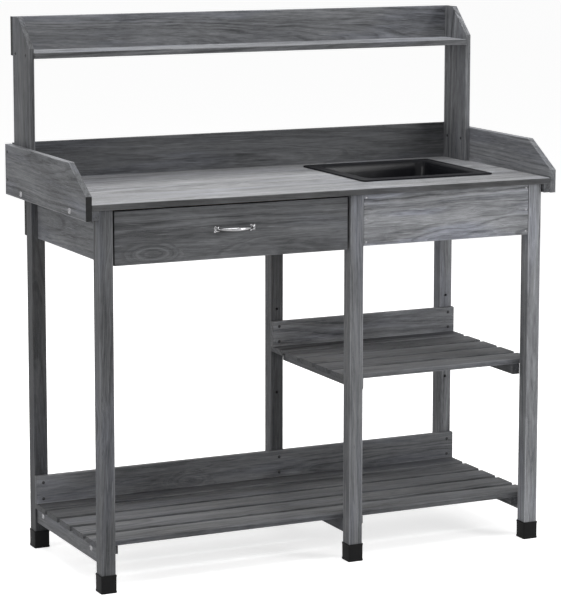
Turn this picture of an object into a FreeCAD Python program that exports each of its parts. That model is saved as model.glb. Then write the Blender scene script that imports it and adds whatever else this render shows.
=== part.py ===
import FreeCAD, Part
import os

# A potting bench: a worktop on six legs with a drawer, a lift-out sink tray, a slatted shelf
# under the sink, a slatted shelf along the bottom and a small shelf on uprights at the back.
# Millimetres. +X is to the right, +Y to the back and +Z up. The pieces are built with X = 0 in
# the middle of the bench, Y = 0 at the front faces of the front legs and Z = 0 on the floor,
# and are moved along Y when they are written, so that the origin is under the bench's centre.

V = FreeCAD.Vector

# Driving dimensions
LEG_SPAN_X = 1076.0         # outer faces of the end legs
LEG_SPAN_Y = 444.0          # front face of the front legs to back face of the back legs
LEG = 32.0                  # side of a leg's square section
MIDDLE_LEG = 591.0          # outer face of the left legs to left face of the middle legs
EASE = 1.0                  # rounding along the edges of the boards

CAP_HEIGHT = 40.0
CAP_WALL = 2.2
CAP_FLOOR = 3.0
CAP_ROUND = 1.8

WORKTOP_HEIGHT = 840.0
WORKTOP_T = 13.0
WORKTOP_FRONT = 10.0        # overhang in front of the legs
WORKTOP_SIDE = 18.0         # overhang past the end legs
WORKTOP_BACK = 25.0         # overhang behind the back legs

SIDE_BOARD_T = 14.0
SIDE_BOARD_TOP = 80.0       # height above the worktop
SIDE_BOARD_BELOW = 21.0     # depth below the worktop's underside
SIDE_BOARD_PAST_BACK = 21.0  # length behind the worktop's back edge
SIDE_CHAMFER_Y = 102.0      # sloped front corner, along the board
SIDE_CHAMFER_Z = 62.0       # sloped front corner, down the board
SIDE_BOLT_FRONT = 95.0      # bolts from the side board's front end
SIDE_BOLT_BACK = 102.0      # bolts from the side board's back end
SIDE_BOLT_DOWN = 9.0        # bolts below the worktop's underside
BATTEN_W = 16.0             # battens under the worktop's ends
BATTEN_H = 20.0

BACK_BOARD_T = 13.0         # splash back and upper back board
SPLASH_BACK_TOP = 83.0      # height above the worktop
BENCH_HEIGHT = 1206.0
UPPER_BOARD_H = 87.0
UPRIGHT_T = 12.0
UPRIGHT_W = 106.0
UPRIGHT_CHAMFER_Y = 69.0
UPRIGHT_CHAMFER_Z = 65.0
UPPER_SHELF_T = 12.5
UPPER_SHELF_RISE = 12.0     # shelf's top above the upper back board's lower edge
UPPER_SHELF_PROUD = 4.0     # shelf's front edge in front of the uprights
UPRIGHT_SCREW_FRONT = 22.0  # screws from the upright's front edge
UPRIGHT_SCREW_BACK = 18.0   # screws from the upright's back edge

APRON_H = 115.0             # end, middle and front aprons
APRON_T = 12.0
END_APRON_INSET = 15.0      # from the outer face of the legs
FRONT_APRON_INSET = 1.0     # from the front face of the legs
FRONT_APRON_GAP = 1.0       # to the leg at each end
BACK_APRON_H = 111.0
CLEAT = 14.0                # blocks behind the front apron's ends
CLEAT_SHORT = 3.0           # shorter than the apron at each end

DRAWER_GAP = 5.0            # drawer front to the legs and to the worktop
DRAWER_FRONT_H = 116.0
DRAWER_FRONT_T = 13.0
DRAWER_RECESS = 5.0         # drawer front behind the front of the legs
DRAWER_SHORT = 22.0         # back of the drawer in front of the back legs
DRAWER_WALL = 10.0
DRAWER_BOTTOM_T = 5.0
DRAWER_SIDE_H = 72.0
DRAWER_BACK_LOW = 5.0       # drawer back's top below the sides' tops
DRAWER_SIDE_CLEAR = 2.0     # drawer side to the leg's inner face
RUNNER_UP = 4.0             # runner's underside above the aprons' lower edge
RUNNER_H = 15.0
RUNNER_REACH = 12.0         # runner past the drawer side's outer face
STOP_T = 12.0
STOP_H = 25.0

HANDLE_SPACING = 84.0       # between the two foot plates' centres
HANDLE_UP = 6.0             # above the middle of the drawer front
HANDLE_RIGHT = 3.0          # to the right of the drawer front's middle
HANDLE_FOOT_W = 16.0
HANDLE_FOOT_H = 14.0
HANDLE_FOOT_T = 2.5
HANDLE_OUT = 24.0           # front of the grip from the drawer front
HANDLE_BAR_W = 5.0          # grip's depth, front to back
HANDLE_BAR_H = 9.0          # grip's height

SINK_RIGHT_OF_BAY = 7.0     # sink's centre to the right of its bay's middle
SINK_BACK = 54.0            # sink's rim in front of the worktop's back edge
SINK_W = 334.0              # over the rim
SINK_D = 316.0
SINK_RIM_EASE = 1.6         # rounding along the rim's top edge
SINK_RIM_W = 28.0
SINK_RIM_T = 4.0
SINK_DEPTH = 110.0          # basin's inside depth, from the worktop's top
SINK_WALL = 2.5
SINK_TAPER = 12.0           # each wall leans in by this much at the floor
SINK_CORNER = 22.0          # basin's inside corners
SINK_RIM_CORNER = 9.0
CUT_OUT_GAP = 2.0           # basin to the worktop's cut-out

SLATS = 5
SLAT_GAP = 15.0
SLAT_T = 12.0
SHELF_BOARD_T = 13.0        # back boards of the two slatted shelves
BOTTOM_SHELF_TOP = 106.0
BOTTOM_BOARD_H = 64.0
RAIL_INSET = 5.0
RAIL_T = 15.0
RAIL_H = 34.0
RAIL_BOLT_INSET = 41.0      # bolts from the ends of the rail
BEARER_W = 30.0             # bearers beside the bottom rails
BEARER_H = 18.0
MIDDLE_SHELF_TOP = 420.0
MIDDLE_BOARD_H = 60.0
MIDDLE_BEARER_W = 18.0
MIDDLE_BEARER_H = 24.0

BOLT_R = 3.0
BOLT_HEAD_R = 6.5
BOLT_HEAD_H = 3.6
SCREW_R = 1.8
SCREW_HEAD_R = 3.6
SCREW_HEAD_H = 1.4
NAIL_R = 1.2
NAIL_HEAD_R = 2.4
NAIL_HEAD_H = 0.6
HOLE_CLEAR = 0.1            # radial room round a shank
DOWEL_R = 3.0
DOWEL_IN_LEG = 16.0
DOWEL_IN_SLAT = 22.0
SHELF_HOLE_R = 3.3          # spare holes for the other shelf heights
SHELF_STEPS = (-112.0, 88.0)  # the other heights, from the shelf's top

# Where fasteners sit, as parts of the height or length of the board that they hold
BOTTOM_BOARD_SCREWS = (0.18, 0.76)
MIDDLE_BOARD_SCREWS = (0.2, 0.8)
UPPER_BOARD_SCREWS = (0.3, 0.8)
SPLASH_BACK_SCREWS = (0.25, 0.55)
SIDE_TO_SPLASH_SCREWS = (0.0, 0.79)
SIDE_TO_UPRIGHT_SCREW = 0.66
TOP_EDGE_SCREWS = (-0.6, 0.0, 0.6)
APRON_NAILS = (0.07, 0.5, 0.93)

# Places worked out from them
LEFT = -LEG_SPAN_X / 2
RIGHT = LEG_SPAN_X / 2
MIDDLE = LEFT + MIDDLE_LEG
BACK_LEG_Y = LEG_SPAN_Y - LEG
UNDER_TOP = WORKTOP_HEIGHT - WORKTOP_T
TOP_HALF_X = RIGHT + WORKTOP_SIDE
TOP_BACK_Y = LEG_SPAN_Y + WORKTOP_BACK
OUTER_X = TOP_HALF_X + SIDE_BOARD_T
SIDE_BACK_Y = TOP_BACK_Y + SIDE_BOARD_PAST_BACK
SIDE_LOW = UNDER_TOP - SIDE_BOARD_BELOW
SIDE_HIGH = WORKTOP_HEIGHT + SIDE_BOARD_TOP
UPRIGHT_FRONT_Y = TOP_BACK_Y - UPRIGHT_W
UPPER_BOARD_LOW = BENCH_HEIGHT - UPPER_BOARD_H
UPPER_SHELF_HIGH = UPPER_BOARD_LOW + UPPER_SHELF_RISE
APRON_LOW = UNDER_TOP - APRON_H
SLAT_W = (BACK_LEG_Y - LEG - (SLATS - 1) * SLAT_GAP) / SLATS
BOTTOM_SLAT_LOW = BOTTOM_SHELF_TOP - SLAT_T
MIDDLE_SLAT_LOW = MIDDLE_SHELF_TOP - SLAT_T
DRAWER_LEFT = LEFT + LEG + DRAWER_SIDE_CLEAR
DRAWER_RIGHT = MIDDLE - DRAWER_SIDE_CLEAR
DRAWER_FRONT_LOW = UNDER_TOP - DRAWER_GAP - DRAWER_FRONT_H
DRAWER_BOX_Y = DRAWER_RECESS + DRAWER_FRONT_T
DRAWER_BACK_Y = BACK_LEG_Y - DRAWER_SHORT
RUNNER_TOP = APRON_LOW + RUNNER_UP + RUNNER_H
SINK_X = (MIDDLE + RIGHT) / 2 + SINK_RIGHT_OF_BAY
SINK_Y = TOP_BACK_Y - SINK_BACK - SINK_D / 2
HANDLE_X = (LEFT + LEG + MIDDLE) / 2 + HANDLE_RIGHT
HANDLE_Z = DRAWER_FRONT_LOW + DRAWER_FRONT_H / 2 + HANDLE_UP
CENTRE_Y = (DRAWER_RECESS - HANDLE_OUT + SIDE_BACK_Y) / 2

X_AXIS, Y_AXIS, Z_AXIS = V(1, 0, 0), V(0, 1, 0), V(0, 0, 1)
LEG_NAMES = {"left": LEFT, "middle": MIDDLE, "right": RIGHT - LEG}


def box(x0, x1, y0, y1, z0, z1):
    """A block between two X, two Y and two Z planes."""
    return Part.makeBox(x1 - x0, y1 - y0, z1 - z0, V(x0, y0, z0))


def board(x0, x1, y0, y1, z0, z1):
    """A sawn board: a block with its long edges eased."""
    solid = box(x0, x1, y0, y1, z0, z1)
    length = max(x1 - x0, y1 - y0, z1 - z0)
    long_edges = [edge for edge in solid.Edges if abs(edge.Length - length) < 0.001]
    return solid.makeFillet(EASE, long_edges)


def side_profile(points, x0, x1):
    """A board cut to an outline of (y, z) points, between two X planes, with eased edges."""
    corners = [V(x0, y, z) for y, z in points]
    face = Part.Face(Part.makePolygon(corners + corners[:1]))
    solid = face.extrude(V(x1 - x0, 0, 0))
    return solid.makeFillet(EASE, solid.Edges)


def rounded_rectangle(half_x, half_y, radius, z):
    """A closed wire round the sink's centre, with rounded corners."""
    plate = Part.makeBox(2 * half_x, 2 * half_y, 1, V(SINK_X - half_x, SINK_Y - half_y, z))
    uprights = [edge for edge in plate.Edges if abs(edge.tangentAt(0).z) > 0.9]
    plate = plate.makeFillet(radius, uprights)
    base = min(plate.Faces, key=lambda face: face.CenterOfMass.z)
    return base.OuterWire


def hole(start, direction, radius, length):
    """The tool that bores a hole from its mouth inwards, started just outside the mouth."""
    back = V(direction).multiply(-0.5)
    return Part.makeCylinder(radius + HOLE_CLEAR, length + 1.0, start + back, direction)


def fastener(start, direction, shank_r, length, head_r, head_h):
    """A domed head that sits on the surface at start, and a shank along direction."""
    rise = head_h * 0.72
    shoulder = V(head_r * 0.72, 0, -rise)
    dome = Part.Arc(V(0, 0, -head_h), shoulder, V(head_r, 0, 0)).toShape()
    rest = Part.makePolygon([V(head_r, 0, 0), V(shank_r, 0, 0), V(shank_r, 0, length),
                             V(0, 0, length), V(0, 0, -head_h)])
    solid = Part.Face(Part.Wire([dome] + rest.Edges)).revolve(V(0, 0, 0), Z_AXIS, 360)
    solid.Placement = FreeCAD.Placement(start, FreeCAD.Rotation(Z_AXIS, direction))
    return solid


# Fasteners: (mouth of the hole on the outer surface, direction of the shank)
def side_board_bolts():
    """Two bolts at each end, through the side board into the batten behind it."""
    places = []
    z = UNDER_TOP - SIDE_BOLT_DOWN
    for y in (SIDE_BOLT_FRONT - WORKTOP_FRONT, SIDE_BACK_Y - SIDE_BOLT_BACK):
        places.append((V(-OUTER_X, y, z), X_AXIS))
        places.append((V(OUTER_X, y, z), V(-1, 0, 0)))
    return places


def rail_bolts():
    """Two bolts in each end rail of the bottom shelf, into the bearer beside it."""
    places = []
    z = BOTTOM_SLAT_LOW - BEARER_H / 2
    for y in (LEG + RAIL_BOLT_INSET, BACK_LEG_Y - RAIL_BOLT_INSET):
        places.append((V(LEFT + RAIL_INSET, y, z), X_AXIS))
        places.append((V(RIGHT - RAIL_INSET, y, z), V(-1, 0, 0)))
    return places


def shelf_board_screws():
    """Two screws through each shelf's back board into every back leg that it crosses."""
    places = []
    bottom = [BOTTOM_SHELF_TOP + BOTTOM_BOARD_H * part for part in BOTTOM_BOARD_SCREWS]
    middle = [MIDDLE_SHELF_TOP + MIDDLE_BOARD_H * part for part in MIDDLE_BOARD_SCREWS]
    for x in LEG_NAMES.values():
        for z in bottom + (middle if x >= MIDDLE else []):
            places.append((V(x + LEG / 2, BACK_LEG_Y - SHELF_BOARD_T, z), Y_AXIS))
    return places


def upright_screws():
    """Into the ends of the upper shelf from outside, and into the side boards from inside."""
    places = []
    shelf_z = UPPER_SHELF_HIGH - UPPER_SHELF_T / 2
    low_z = WORKTOP_HEIGHT + SIDE_BOARD_TOP * SIDE_TO_UPRIGHT_SCREW
    for side in (-1, 1):
        inward = V(-side, 0, 0)
        outward = V(side, 0, 0)
        for y in (UPRIGHT_FRONT_Y + UPRIGHT_SCREW_FRONT, TOP_BACK_Y - UPRIGHT_SCREW_BACK):
            places.append((V(side * TOP_HALF_X, y, shelf_z), inward))
            places.append((V(side * (TOP_HALF_X - UPRIGHT_T), y, low_z), outward))
    return places


def splash_back_screws():
    """Through the side boards into the ends of the splash back."""
    y = TOP_BACK_Y + BACK_BOARD_T / 2
    places = []
    for side in (-1, 1):
        for part in SIDE_TO_SPLASH_SCREWS:
            z = WORKTOP_HEIGHT + SIDE_BOARD_TOP * part
            places.append((V(side * OUTER_X, y, z), V(-side, 0, 0)))
    return places


def back_screws():
    """From behind, into the back edges of the uprights and of the worktop."""
    y = TOP_BACK_Y + BACK_BOARD_T
    inward = V(0, -1, 0)
    x = TOP_HALF_X - UPRIGHT_T / 2
    heights = [UPPER_BOARD_LOW + UPPER_BOARD_H * part for part in UPPER_BOARD_SCREWS]
    heights += [WORKTOP_HEIGHT + SPLASH_BACK_TOP * part for part in SPLASH_BACK_SCREWS]
    places = [(V(side * x, y, z), inward) for side in (-1, 1) for z in heights]
    for along in TOP_EDGE_SCREWS:
        places.append((V(along * TOP_HALF_X, y, UNDER_TOP + WORKTOP_T / 2), inward))
    return places


def apron_nails():
    """Three nails at each end of the front apron, into the block behind it."""
    ends = (MIDDLE + LEG + CLEAT / 2, RIGHT - LEG - CLEAT / 2)
    heights = [APRON_LOW + APRON_H * part for part in APRON_NAILS]
    return [(V(x, FRONT_APRON_INSET, z), Y_AXIS) for x in ends for z in heights]


def handle_screws():
    """Through the drawer front into the handle's feet, from inside the drawer."""
    y = DRAWER_RECESS + DRAWER_FRONT_T
    places = []
    for side in (-1, 1):
        places.append((V(HANDLE_X + side * HANDLE_SPACING / 2, y, HANDLE_Z), V(0, -1, 0)))
    return places


BOLT_LENGTH = SIDE_BOARD_T + BATTEN_W - 3.0
RAIL_BOLT_LENGTH = RAIL_T + BEARER_W * 0.7
SCREW_LENGTH = 20.0
NAIL_LENGTH = APRON_T + CLEAT * 0.8
HANDLE_SCREW = DRAWER_FRONT_T + HANDLE_FOOT_T * 0.6
SCREW_PLACES = shelf_board_screws() + upright_screws() + splash_back_screws() + back_screws()
SCREW_TOOLS = [hole(start, way, SCREW_R, SCREW_LENGTH) for start, way in SCREW_PLACES]


def fits(solid, tools):
    """Cut only the bores that reach the solid."""
    near = [tool for tool in tools if solid.BoundBox.intersect(tool.BoundBox)]
    return solid.cut(near) if near else solid


def spare_holes(x):
    """Through-holes in a leg, at the middle shelf's other heights."""
    tools = []
    for step in SHELF_STEPS:
        start = V(x + LEG / 2, BACK_LEG_Y - 1.0, MIDDLE_SHELF_TOP + step)
        tools.append(Part.makeCylinder(SHELF_HOLE_R, LEG + 2.0, start, Y_AXIS))
    return tools


def dowel_places():
    """Pins between the middle shelf's front slat and the front legs behind which it sits."""
    z = MIDDLE_SLAT_LOW + SLAT_T / 2
    return [V(x + LEG / 2, LEG - DOWEL_IN_LEG, z) for x in (MIDDLE, RIGHT - LEG)]


DOWELS = [Part.makeCylinder(DOWEL_R, DOWEL_IN_LEG + DOWEL_IN_SLAT, start, Y_AXIS)
          for start in dowel_places()]


def leg(x, y):
    solid = board(x, x + LEG, y, y + LEG, CAP_FLOOR, UNDER_TOP)
    tools = SCREW_TOOLS + DOWELS
    if y > 0 and x >= MIDDLE:
        tools = tools + spare_holes(x)
    return fits(solid, tools)


def foot_cap(x, y):
    """A push-on cup that fills up to its rim with the leg."""
    outer = box(x - CAP_WALL, x + LEG + CAP_WALL, y - CAP_WALL, y + LEG + CAP_WALL,
                0, CAP_HEIGHT)
    uprights = [edge for edge in outer.Edges if abs(edge.tangentAt(0).z) > 0.9]
    outer = outer.makeFillet(CAP_ROUND, uprights)
    return outer.cut(box(x, x + LEG, y, y + LEG, CAP_FLOOR, CAP_HEIGHT + 1))


def worktop():
    solid = board(-TOP_HALF_X, TOP_HALF_X, -WORKTOP_FRONT, TOP_BACK_Y, UNDER_TOP,
                  WORKTOP_HEIGHT)
    half_x = SINK_W / 2 - SINK_RIM_W + SINK_WALL + CUT_OUT_GAP
    half_y = SINK_D / 2 - SINK_RIM_W + SINK_WALL + CUT_OUT_GAP
    outline = rounded_rectangle(half_x, half_y, SINK_CORNER, UNDER_TOP - 1)
    opening = Part.Face(outline).extrude(V(0, 0, WORKTOP_T + 2))
    return fits(solid.cut(opening), SCREW_TOOLS)


def side_board(side):
    outline = [
        (SIDE_BACK_Y, SIDE_LOW),
        (SIDE_BACK_Y, SIDE_HIGH),
        (SIDE_CHAMFER_Y - WORKTOP_FRONT, SIDE_HIGH),
        (-WORKTOP_FRONT, SIDE_HIGH - SIDE_CHAMFER_Z),
        (-WORKTOP_FRONT, SIDE_LOW),
    ]
    x0, x1 = sorted((side * TOP_HALF_X, side * OUTER_X))
    bolts = [hole(start, way, BOLT_R, BOLT_LENGTH) for start, way in side_board_bolts()]
    return fits(side_profile(outline, x0, x1), bolts + SCREW_TOOLS)


def top_batten(side):
    """Under the worktop's end, against the side board."""
    x0, x1 = sorted((side * TOP_HALF_X, side * (TOP_HALF_X - BATTEN_W)))
    solid = board(x0, x1, -WORKTOP_FRONT + EASE, TOP_BACK_Y - EASE, UNDER_TOP - BATTEN_H,
                  UNDER_TOP)
    bolts = [hole(start, way, BOLT_R, BOLT_LENGTH) for start, way in side_board_bolts()]
    return fits(solid, bolts)


def splash_back():
    solid = board(-TOP_HALF_X, TOP_HALF_X, TOP_BACK_Y, TOP_BACK_Y + BACK_BOARD_T, SIDE_LOW,
                  WORKTOP_HEIGHT + SPLASH_BACK_TOP)
    return fits(solid, SCREW_TOOLS)


def upper_back_board():
    solid = board(-TOP_HALF_X, TOP_HALF_X, TOP_BACK_Y, TOP_BACK_Y + BACK_BOARD_T,
                  UPPER_BOARD_LOW, BENCH_HEIGHT)
    return fits(solid, SCREW_TOOLS)


def upright(side):
    outline = [
        (TOP_BACK_Y, WORKTOP_HEIGHT),
        (TOP_BACK_Y, BENCH_HEIGHT),
        (UPRIGHT_FRONT_Y + UPRIGHT_CHAMFER_Y, BENCH_HEIGHT),
        (UPRIGHT_FRONT_Y, BENCH_HEIGHT - UPRIGHT_CHAMFER_Z),
        (UPRIGHT_FRONT_Y, WORKTOP_HEIGHT),
    ]
    x0, x1 = sorted((side * TOP_HALF_X, side * (TOP_HALF_X - UPRIGHT_T)))
    return fits(side_profile(outline, x0, x1), SCREW_TOOLS)


def upper_shelf():
    half = TOP_HALF_X - UPRIGHT_T
    solid = board(-half, half, UPRIGHT_FRONT_Y - UPPER_SHELF_PROUD, TOP_BACK_Y,
                  UPPER_SHELF_HIGH - UPPER_SHELF_T, UPPER_SHELF_HIGH)
    return fits(solid, SCREW_TOOLS)


def end_apron(side):
    outer = RIGHT - END_APRON_INSET
    x0, x1 = sorted((side * outer, side * (outer - APRON_T)))
    return board(x0, x1, LEG, BACK_LEG_Y, APRON_LOW, UNDER_TOP)


def middle_apron():
    x0 = MIDDLE + (LEG - APRON_T) / 2
    return board(x0, x0 + APRON_T, LEG, BACK_LEG_Y, APRON_LOW, UNDER_TOP)


def back_apron():
    return board(LEFT, RIGHT, LEG_SPAN_Y, LEG_SPAN_Y + APRON_T, UNDER_TOP - BACK_APRON_H,
                 UNDER_TOP)


def front_apron():
    solid = board(MIDDLE + LEG + FRONT_APRON_GAP, RIGHT - LEG - FRONT_APRON_GAP,
                  FRONT_APRON_INSET, FRONT_APRON_INSET + APRON_T, APRON_LOW, UNDER_TOP)
    nails = [hole(start, way, NAIL_R, NAIL_LENGTH) for start, way in apron_nails()]
    return fits(solid, nails)


def front_apron_cleats():
    """Blocks on the legs' inner faces that the front apron is nailed to."""
    nails = [hole(start, way, NAIL_R, NAIL_LENGTH) for start, way in apron_nails()]
    y0 = FRONT_APRON_INSET + APRON_T
    blocks = []
    for x0 in (MIDDLE + LEG, RIGHT - LEG - CLEAT):
        block = box(x0, x0 + CLEAT, y0, y0 + CLEAT, APRON_LOW + CLEAT_SHORT,
                    UNDER_TOP - CLEAT_SHORT)
        blocks.append(fits(block, nails))
    return Part.makeCompound(blocks)


def drawer_front():
    solid = board(LEFT + LEG + DRAWER_GAP, MIDDLE - DRAWER_GAP, DRAWER_RECESS, DRAWER_BOX_Y,
                  DRAWER_FRONT_LOW, DRAWER_FRONT_LOW + DRAWER_FRONT_H)
    return fits(solid, [hole(start, way, SCREW_R, DRAWER_FRONT_T)
                        for start, way in handle_screws()])


def drawer_side(x0):
    z0 = RUNNER_TOP + DRAWER_BOTTOM_T
    return box(x0, x0 + DRAWER_WALL, DRAWER_BOX_Y, DRAWER_BACK_Y, z0, z0 + DRAWER_SIDE_H)


def drawer_back():
    z0 = RUNNER_TOP + DRAWER_BOTTOM_T
    return box(DRAWER_LEFT + DRAWER_WALL, DRAWER_RIGHT - DRAWER_WALL,
               DRAWER_BACK_Y - DRAWER_WALL, DRAWER_BACK_Y, z0,
               z0 + DRAWER_SIDE_H - DRAWER_BACK_LOW)


def drawer_bottom():
    return box(DRAWER_LEFT, DRAWER_RIGHT, DRAWER_BOX_Y, DRAWER_BACK_Y, RUNNER_TOP,
               RUNNER_TOP + DRAWER_BOTTOM_T)


def runner_spans():
    """X ranges of the two runners: from the apron they hang on to under the drawer side."""
    left_face = LEFT + END_APRON_INSET + APRON_T
    right_face = MIDDLE + (LEG - APRON_T) / 2
    return ((left_face, DRAWER_LEFT + RUNNER_REACH), (DRAWER_RIGHT - RUNNER_REACH, right_face))


def drawer_runners():
    return Part.makeCompound([box(x0, x1, LEG, BACK_LEG_Y, RUNNER_TOP - RUNNER_H, RUNNER_TOP)
                              for x0, x1 in runner_spans()])


def drawer_stops():
    """Blocks at the back of the runners that the drawer's back comes to rest on."""
    return Part.makeCompound([box(x0, x1, DRAWER_BACK_Y, DRAWER_BACK_Y + STOP_T, RUNNER_TOP,
                                  RUNNER_TOP + STOP_H) for x0, x1 in runner_spans()])


def drawer_handle():
    """Two foot plates and a bowed grip, in one casting."""
    plates = []
    for side in (-1, 1):
        centre = HANDLE_X + side * HANDLE_SPACING / 2
        plate = box(centre - HANDLE_FOOT_W / 2, centre + HANDLE_FOOT_W / 2,
                    DRAWER_RECESS - HANDLE_FOOT_T, DRAWER_RECESS,
                    HANDLE_Z - HANDLE_FOOT_H / 2, HANDLE_Z + HANDLE_FOOT_H / 2)
        front = [edge for edge in plate.Edges
                 if abs(edge.CenterOfMass.y - (DRAWER_RECESS - HANDLE_FOOT_T)) < 0.001]
        plates.append(plate.makeFillet(HANDLE_FOOT_T * 0.6, front))
    bow_y = DRAWER_RECESS - HANDLE_OUT
    half = HANDLE_SPACING / 2

    def arch(reach, y_front):
        """The bow's arc in plan, from foot to foot."""
        return Part.Arc(V(HANDLE_X - reach, DRAWER_RECESS - HANDLE_FOOT_T / 2, 0),
                        V(HANDLE_X, y_front, 0),
                        V(HANDLE_X + reach, DRAWER_RECESS - HANDLE_FOOT_T / 2, 0)).toShape()

    outer = arch(half, bow_y)
    inner = arch(half - HANDLE_BAR_W, bow_y + HANDLE_BAR_W)
    foot = [Part.makeLine(outer.Vertexes[i].Point, inner.Vertexes[i].Point) for i in (0, 1)]
    outline = Part.Wire(Part.__sortEdges__([outer, inner] + foot))
    bow = Part.Face(outline).extrude(V(0, 0, HANDLE_BAR_H))
    bow.translate(V(0, 0, HANDLE_Z - HANDLE_BAR_H / 2))
    curved = [edge for edge in bow.Edges if edge.Length > HANDLE_SPACING / 2]
    bow = bow.makeFillet(HANDLE_BAR_W * 0.35, curved)
    body = bow.fuse(plates).removeSplitter()
    screws = [hole(start, way, SCREW_R, HANDLE_SCREW) for start, way in handle_screws()]
    return body.cut(screws)


def sink_tray():
    """A rectangular tub with sloping walls, hanging by its rim in the worktop's cut-out."""
    half_x = SINK_W / 2 - SINK_RIM_W
    half_y = SINK_D / 2 - SINK_RIM_W

    def tub(grow, top, floor):
        upper = rounded_rectangle(half_x + grow, half_y + grow, SINK_CORNER + grow, top)
        lower = rounded_rectangle(half_x + grow - SINK_TAPER, half_y + grow - SINK_TAPER,
                                  SINK_CORNER + grow, floor)
        return Part.makeLoft([upper, lower], True, True)

    rim_top = WORKTOP_HEIGHT + SINK_RIM_T
    floor = WORKTOP_HEIGHT - SINK_DEPTH
    rim_outline = rounded_rectangle(SINK_W / 2, SINK_D / 2, SINK_RIM_CORNER, WORKTOP_HEIGHT)
    rim = Part.Face(rim_outline).extrude(V(0, 0, SINK_RIM_T))
    top_edges = [edge for edge in rim.Edges if edge.CenterOfMass.z > rim_top - 0.001]
    rim = rim.makeFillet(SINK_RIM_EASE, top_edges)
    outside = tub(SINK_WALL, WORKTOP_HEIGHT, floor - SINK_WALL)
    inside = tub(0, rim_top, floor)
    return rim.fuse(outside).cut(inside)


def slat(x0, x1, index, low, tools):
    y0 = LEG + index * (SLAT_W + SLAT_GAP)
    return fits(board(x0, x1, y0, y0 + SLAT_W, low, low + SLAT_T), tools)


def bottom_rail(x0):
    solid = board(x0, x0 + RAIL_T, LEG, BACK_LEG_Y, BOTTOM_SLAT_LOW - RAIL_H, BOTTOM_SLAT_LOW)
    return fits(solid, [hole(start, way, BOLT_R, RAIL_BOLT_LENGTH)
                        for start, way in rail_bolts()])


def bottom_bearers():
    """Battens beside the bottom rails, under the slats."""
    bolts = [hole(start, way, BOLT_R, RAIL_BOLT_LENGTH) for start, way in rail_bolts()]
    pieces = []
    inner = RAIL_INSET + RAIL_T
    for x0 in (LEFT + inner, MIDDLE + inner, RIGHT - inner - BEARER_W):
        piece = board(x0, x0 + BEARER_W, LEG, BACK_LEG_Y, BOTTOM_SLAT_LOW - BEARER_H,
                      BOTTOM_SLAT_LOW)
        pieces.append(fits(piece, bolts))
    return Part.makeCompound(pieces)


def middle_bearers():
    return Part.makeCompound([board(x0, x0 + MIDDLE_BEARER_W, LEG, BACK_LEG_Y,
                                    MIDDLE_SLAT_LOW - MIDDLE_BEARER_H, MIDDLE_SLAT_LOW)
                              for x0 in (MIDDLE + LEG, RIGHT - LEG - MIDDLE_BEARER_W)])


def shelf_back_board(x0, low, height):
    solid = board(x0, RIGHT, BACK_LEG_Y - SHELF_BOARD_T, BACK_LEG_Y, low, low + height)
    return fits(solid, SCREW_TOOLS)


def fastener_group(places, shank_r, length, head_r, head_h):
    return Part.makeCompound([fastener(start, way, shank_r, length, head_r, head_h)
                              for start, way in places])


os.makedirs("parts", exist_ok=True)


def write(name, shape):
    shape.translate(V(0, -CENTRE_Y, 0))
    shape.exportStep("parts/" + name + ".step")


for column, leg_x in LEG_NAMES.items():
    for row, leg_y in (("front", 0.0), ("back", BACK_LEG_Y)):
        write(row + "_" + column + "_leg", leg(leg_x, leg_y))
        write(row + "_" + column + "_foot_cap", foot_cap(leg_x, leg_y))

for hand, sign in (("left", -1), ("right", 1)):
    write(hand + "_side_board", side_board(sign))
    write(hand + "_upright", upright(sign))
    write(hand + "_end_apron", end_apron(sign))

write("worktop", worktop())
write("top_battens", Part.makeCompound([top_batten(-1), top_batten(1)]))
write("splash_back", splash_back())
write("upper_back_board", upper_back_board())
write("upper_shelf", upper_shelf())
write("middle_apron", middle_apron())
write("back_apron", back_apron())
write("front_apron", front_apron())
write("front_apron_cleats", front_apron_cleats())

write("drawer_front", drawer_front())
write("drawer_left_side", drawer_side(DRAWER_LEFT))
write("drawer_right_side", drawer_side(DRAWER_RIGHT - DRAWER_WALL))
write("drawer_back", drawer_back())
write("drawer_bottom", drawer_bottom())
write("drawer_handle", drawer_handle())
write("drawer_runners", drawer_runners())
write("drawer_stops", drawer_stops())
write("sink_tray", sink_tray())

for number in range(SLATS):
    write("bottom_shelf_slat_%d" % (number + 1),
          slat(LEFT, RIGHT, number, BOTTOM_SLAT_LOW, []))
    write("middle_shelf_slat_%d" % (number + 1),
          slat(MIDDLE, RIGHT, number, MIDDLE_SLAT_LOW, DOWELS))
write("bottom_shelf_back_board", shelf_back_board(LEFT, BOTTOM_SHELF_TOP, BOTTOM_BOARD_H))
write("middle_shelf_back_board", shelf_back_board(MIDDLE, MIDDLE_SHELF_TOP, MIDDLE_BOARD_H))
write("bottom_left_rail", bottom_rail(LEFT + RAIL_INSET))
write("bottom_middle_rail", bottom_rail(MIDDLE + RAIL_INSET))
write("bottom_right_rail", bottom_rail(RIGHT - RAIL_INSET - RAIL_T))
write("bottom_bearers", bottom_bearers())
write("middle_bearers", middle_bearers())
write("middle_shelf_dowels", Part.makeCompound(DOWELS))

write("side_board_bolts", fastener_group(side_board_bolts(), BOLT_R, BOLT_LENGTH,
                                         BOLT_HEAD_R, BOLT_HEAD_H))
write("rail_bolts", fastener_group(rail_bolts(), BOLT_R, RAIL_BOLT_LENGTH,
                                   BOLT_HEAD_R, BOLT_HEAD_H))
write("board_screws", fastener_group(SCREW_PLACES, SCREW_R, SCREW_LENGTH,
                                     SCREW_HEAD_R, SCREW_HEAD_H))
write("apron_nails", fastener_group(apron_nails(), NAIL_R, NAIL_LENGTH,
                                    NAIL_HEAD_R, NAIL_HEAD_H))
write("handle_screws", fastener_group(handle_screws(), SCREW_R, HANDLE_SCREW,
                                      SCREW_HEAD_R, SCREW_HEAD_H))
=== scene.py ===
"""Potting bench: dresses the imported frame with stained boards, a moulded sink and its fixings."""

import math
import random

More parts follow.
